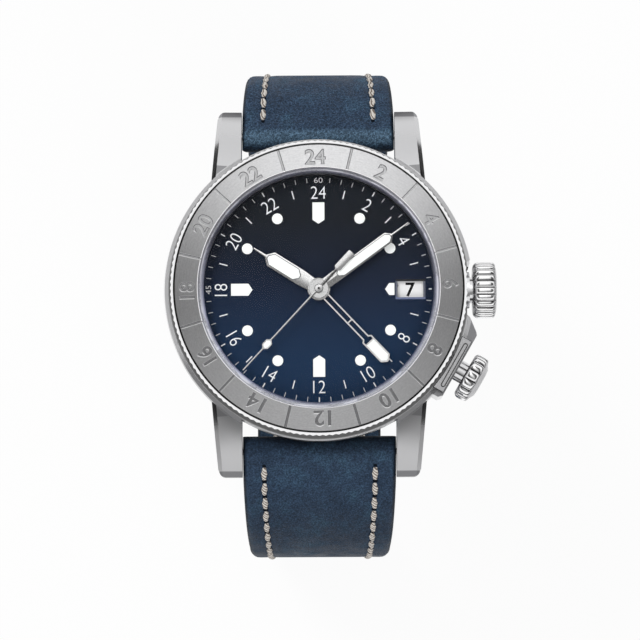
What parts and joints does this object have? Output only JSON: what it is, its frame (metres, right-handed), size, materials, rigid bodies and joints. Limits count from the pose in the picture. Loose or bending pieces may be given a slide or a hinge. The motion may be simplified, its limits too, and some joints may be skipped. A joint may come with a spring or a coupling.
{
  "type": "wristwatch",
  "caption": "Round self-winding wristwatch with a turning hour ring, a locking crown, a second time zone hand and a leather strap with a pin buckle.",
  "frame": {"origin": "on the watch axis, at the outer face of the case back", "axes": "+Z out of the dial, +Y towards 12 o'clock, +X towards the crown at 3 o'clock"},
  "size_m": [0.0473, 0.0744, 0.0769],
  "materials": {
    "steel_satin": "fine brushed and polished steel",
    "steel_polished": "polished steel",
    "ring_steel": "circular brushed face, polished edge",
    "crystal_glass": "clear, low reflection",
    "gasket_black": "matt",
    "gasket_clear": "translucent",
    "dial_blue": "matt, darker towards 12 o'clock",
    "lume_white": "matt luminous compound",
    "hand_steel": "satin facets",
    "brass_gilt": "gilt brass",
    "plate_nickel": "nickel plated, grained",
    "blued_steel": "blued screws",
    "spring_steel": "spring steel",
    "date_white": "matt white",
    "strap_leather": "blue grained leather with beige stitching",
    "buckle_steel": "polished steel"
  },
  "bodies": {
    "root": {"case_middle": "steel_satin", "case_back": "steel_satin", "back_gasket": "gasket_black", "crystal": "crystal_glass", "crystal_gasket": "gasket_clear", "flange_ring": "dial_blue", "ring_spring": "spring_steel", "dial": "dial_blue", "dial_markers": "lume_white", "crown_tube": "steel_satin", "lock_tube": "steel_satin", "movement_holder": "plate_nickel", "mainplate": "plate_nickel", "barrel_bridge": "plate_nickel", "train_bridge": "plate_nickel", "balance_cock": "plate_nickel", "pallet_bridge": "plate_nickel", "bridge_screws": "blued_steel", "hairspring": "blued_steel", "date_plate": "plate_nickel", "automatic_bridge": "plate_nickel", "spring_bars": "steel_polished"},
    "ring": {"turning_ring": "ring_steel"},
    "lock_carriage": {"lock_shoe": "steel_satin"},
    "lock_screw": {"lock_crown": "steel_polished"},
    "winding": {"winding_pinion": "spring_steel"},
    "clutch": {"clutch_wheel": "spring_steel"},
    "crown": {"crown": "steel_polished", "winding_stem": "spring_steel", "crown_gasket": "gasket_black"},
    "setting_lever": {"setting_lever": "spring_steel"},
    "yoke": {"yoke": "spring_steel"},
    "minute": {"cannon_pinion": "spring_steel", "minute_hand": "hand_steel", "minute_hand_lume": "lume_white"},
    "hour": {"hour_hand": "hand_steel", "hour_hand_lume": "lume_white"},
    "gmt": {"gmt_hand": "hand_steel", "gmt_hand_lume": "lume_white"},
    "minute_wheel": {"minute_wheel": "brass_gilt"},
    "setting_wheel": {"setting_wheel": "brass_gilt"},
    "seconds": {"fourth_wheel": "brass_gilt", "seconds_hand": "hand_steel"},
    "third_wheel": {"third_wheel": "brass_gilt"},
    "second_wheel": {"second_wheel": "brass_gilt"},
    "barrel": {"barrel": "brass_gilt", "mainspring": "spring_steel"},
    "escape_wheel": {"escape_wheel": "brass_gilt"},
    "ratchet": {"ratchet_wheel": "spring_steel"},
    "crown_wheel": {"crown_wheel": "spring_steel"},
    "fork": {"pallet_fork": "spring_steel"},
    "balance": {"balance": "brass_gilt"},
    "date": {"date_ring": "date_white"},
    "rotor": {"rotor": "plate_nickel"},
    "strap_buckle": {"strap_buckle_side": "strap_leather", "buckle_bar": "steel_polished"},
    "strap_tail": {"strap_tail_side": "strap_leather"},
    "keeper": {"free_keeper": "strap_leather"},
    "buckle": {"buckle_frame": "buckle_steel"},
    "tongue": {"buckle_tongue": "buckle_steel"}
  },
  "joints": [
    {"name": "ring_turn", "type": "hinge", "parent": "root", "child": "ring", "pos_m": [0, 0, 0.009], "axis": [0, 0, -1], "continuous": true},
    {"name": "lock_slide", "type": "slide", "parent": "root", "child": "lock_carriage", "axis": [0.866, -0.5, 0], "range_m": [-0.00025, 0]},
    {"name": "lock_turn", "type": "hinge", "parent": "lock_carriage", "child": "lock_screw", "pos_m": [0.02079, -0.012, 0.0052], "axis": [0.866, -0.5, 0], "range_deg": [-360.5, 0]},
    {"name": "crown_turn", "type": "hinge", "parent": "root", "child": "winding", "pos_m": [0.011, 0, 0.0052], "axis": [1, 0, 0], "continuous": true},
    {"name": "crown_pull", "type": "slide", "parent": "winding", "child": "crown", "axis": [1, 0, 0], "range_m": [0, 0.0012]},
    {"name": "clutch_slide", "type": "slide", "parent": "winding", "child": "clutch", "axis": [1, 0, 0], "range_m": [-0.000501, 0]},
    {"name": "lever_turn", "type": "hinge", "parent": "root", "child": "setting_lever", "pos_m": [0.0137, 0.0033, 0.0052], "axis": [0, 0, 1], "range_deg": [0, 20.7]},
    {"name": "yoke_turn", "type": "hinge", "parent": "root", "child": "yoke", "pos_m": [0.0093, 0.0034, 0.0052], "axis": [0, 0, 1], "range_deg": [-11.5, 0]},
    {"name": "minute_turn", "type": "hinge", "parent": "root", "child": "minute", "pos_m": [0, 0, 0.0052], "axis": [0, 0, -1], "continuous": true},
    {"name": "hour_turn", "type": "hinge", "parent": "root", "child": "hour", "pos_m": [0, 0, 0.0052], "axis": [0, 0, -1], "continuous": true},
    {"name": "gmt_turn", "type": "hinge", "parent": "root", "child": "gmt", "pos_m": [0, 0, 0.0052], "axis": [0, 0, -1], "continuous": true},
    {"name": "minute_wheel_turn", "type": "hinge", "parent": "root", "child": "minute_wheel", "pos_m": [0.00295, -0.00206, 0.0052], "axis": [0, 0, -1], "continuous": true},
    {"name": "setting_wheel_turn", "type": "hinge", "parent": "root", "child": "setting_wheel", "pos_m": [0.00698, -0.00164, 0.0052], "axis": [0, 0, -1], "continuous": true},
    {"name": "seconds_turn", "type": "hinge", "parent": "root", "child": "seconds", "pos_m": [0, 0, 0.0052], "axis": [0, 0, -1], "continuous": true},
    {"name": "third_turn", "type": "hinge", "parent": "root", "child": "third_wheel", "pos_m": [-0.00219, 0.00313, 0.0052], "axis": [0, 0, -1], "continuous": true},
    {"name": "second_turn", "type": "hinge", "parent": "root", "child": "second_wheel", "pos_m": [0.00036, 0.00567, 0.0052], "axis": [0, 0, -1], "continuous": true},
    {"name": "barrel_turn", "type": "hinge", "parent": "root", "child": "barrel", "pos_m": [0.00566, 0.00674, 0.0052], "axis": [0, 0, -1], "continuous": true},
    {"name": "escape_turn", "type": "hinge", "parent": "root", "child": "escape_wheel", "pos_m": [-0.00176, -0.00304, 0.0052], "axis": [0, 0, -1], "continuous": true},
    {"name": "ratchet_turn", "type": "hinge", "parent": "root", "child": "ratchet", "pos_m": [0.00566, 0.00674, 0.0052], "axis": [0, 0, 1], "continuous": true},
    {"name": "crown_wheel_turn", "type": "hinge", "parent": "root", "child": "crown_wheel", "pos_m": [0.00898, 0.00249, 0.0052], "axis": [0, 0, 1], "continuous": true},
    {"name": "fork_turn", "type": "hinge", "parent": "root", "child": "fork", "pos_m": [-0.00313, -0.00542, 0.0052], "axis": [0, 0, 1], "range_deg": [-7, 7]},
    {"name": "balance_turn", "type": "hinge", "parent": "root", "child": "balance", "pos_m": [-0.00463, -0.00802, 0.0052], "axis": [0, 0, 1], "range_deg": [-260, 260]},
    {"name": "date_turn", "type": "hinge", "parent": "root", "child": "date", "pos_m": [0, 0, 0.0052], "axis": [0, 0, -1], "continuous": true},
    {"name": "rotor_turn", "type": "hinge", "parent": "root", "child": "rotor", "pos_m": [0, 0, 0.0052], "axis": [0, 0, 1], "continuous": true},
    {"name": "buckle_strap_swing", "type": "hinge", "parent": "root", "child": "strap_buckle", "pos_m": [0, 0.0227, 0.0024], "axis": [1, 0, 0], "range_deg": [0, 75]},
    {"name": "tail_strap_swing", "type": "hinge", "parent": "root", "child": "strap_tail", "pos_m": [0, -0.0227, 0.0024], "axis": [-1, 0, 0], "range_deg": [0, 75]},
    {"name": "keeper_slide", "type": "slide", "parent": "strap_buckle", "child": "keeper", "axis": [0, 0.0956, 0.9954], "range_m": [-0.003, 0.003]},
    {"name": "buckle_turn", "type": "hinge", "parent": "strap_buckle", "child": "buckle", "pos_m": [0, 0.02168, -0.06434], "axis": [-1, 0, 0], "range_deg": [-60, 75]},
    {"name": "tongue_turn", "type": "hinge", "parent": "buckle", "child": "tongue", "pos_m": [0, 0.02168, -0.06434], "axis": [-1, 0, 0], "range_deg": [0, 80]}
  ],
  "couplings": [
    {"joint": "lock_turn", "follows": "lock_slide", "rad_per_m": 25133},
    {"joint": "clutch_slide", "follows": "crown_pull", "ratio": -0.41667},
    {"joint": "lever_turn", "follows": "crown_pull", "rad_per_m": 299.76},
    {"joint": "yoke_turn", "follows": "crown_pull", "rad_per_m": -165.34},
    {"joint": "hour_turn", "follows": "minute_turn", "ratio": 0.041667},
    {"joint": "gmt_turn", "follows": "minute_turn", "ratio": 0.041667},
    {"joint": "minute_wheel_turn", "follows": "minute_turn", "ratio": -0.33333},
    {"joint": "setting_wheel_turn", "follows": "minute_turn", "ratio": 0.66667},
    {"joint": "third_turn", "follows": "seconds_turn", "ratio": -0.13333},
    {"joint": "second_turn", "follows": "seconds_turn", "ratio": 0.016667},
    {"joint": "barrel_turn", "follows": "seconds_turn", "ratio": -0.0020833},
    {"joint": "escape_turn", "follows": "seconds_turn", "ratio": -8.75},
    {"joint": "crown_wheel_turn", "follows": "crown_turn", "ratio": -0.77778},
    {"joint": "ratchet_turn", "follows": "crown_turn", "ratio": 0.38889}
  ]
}
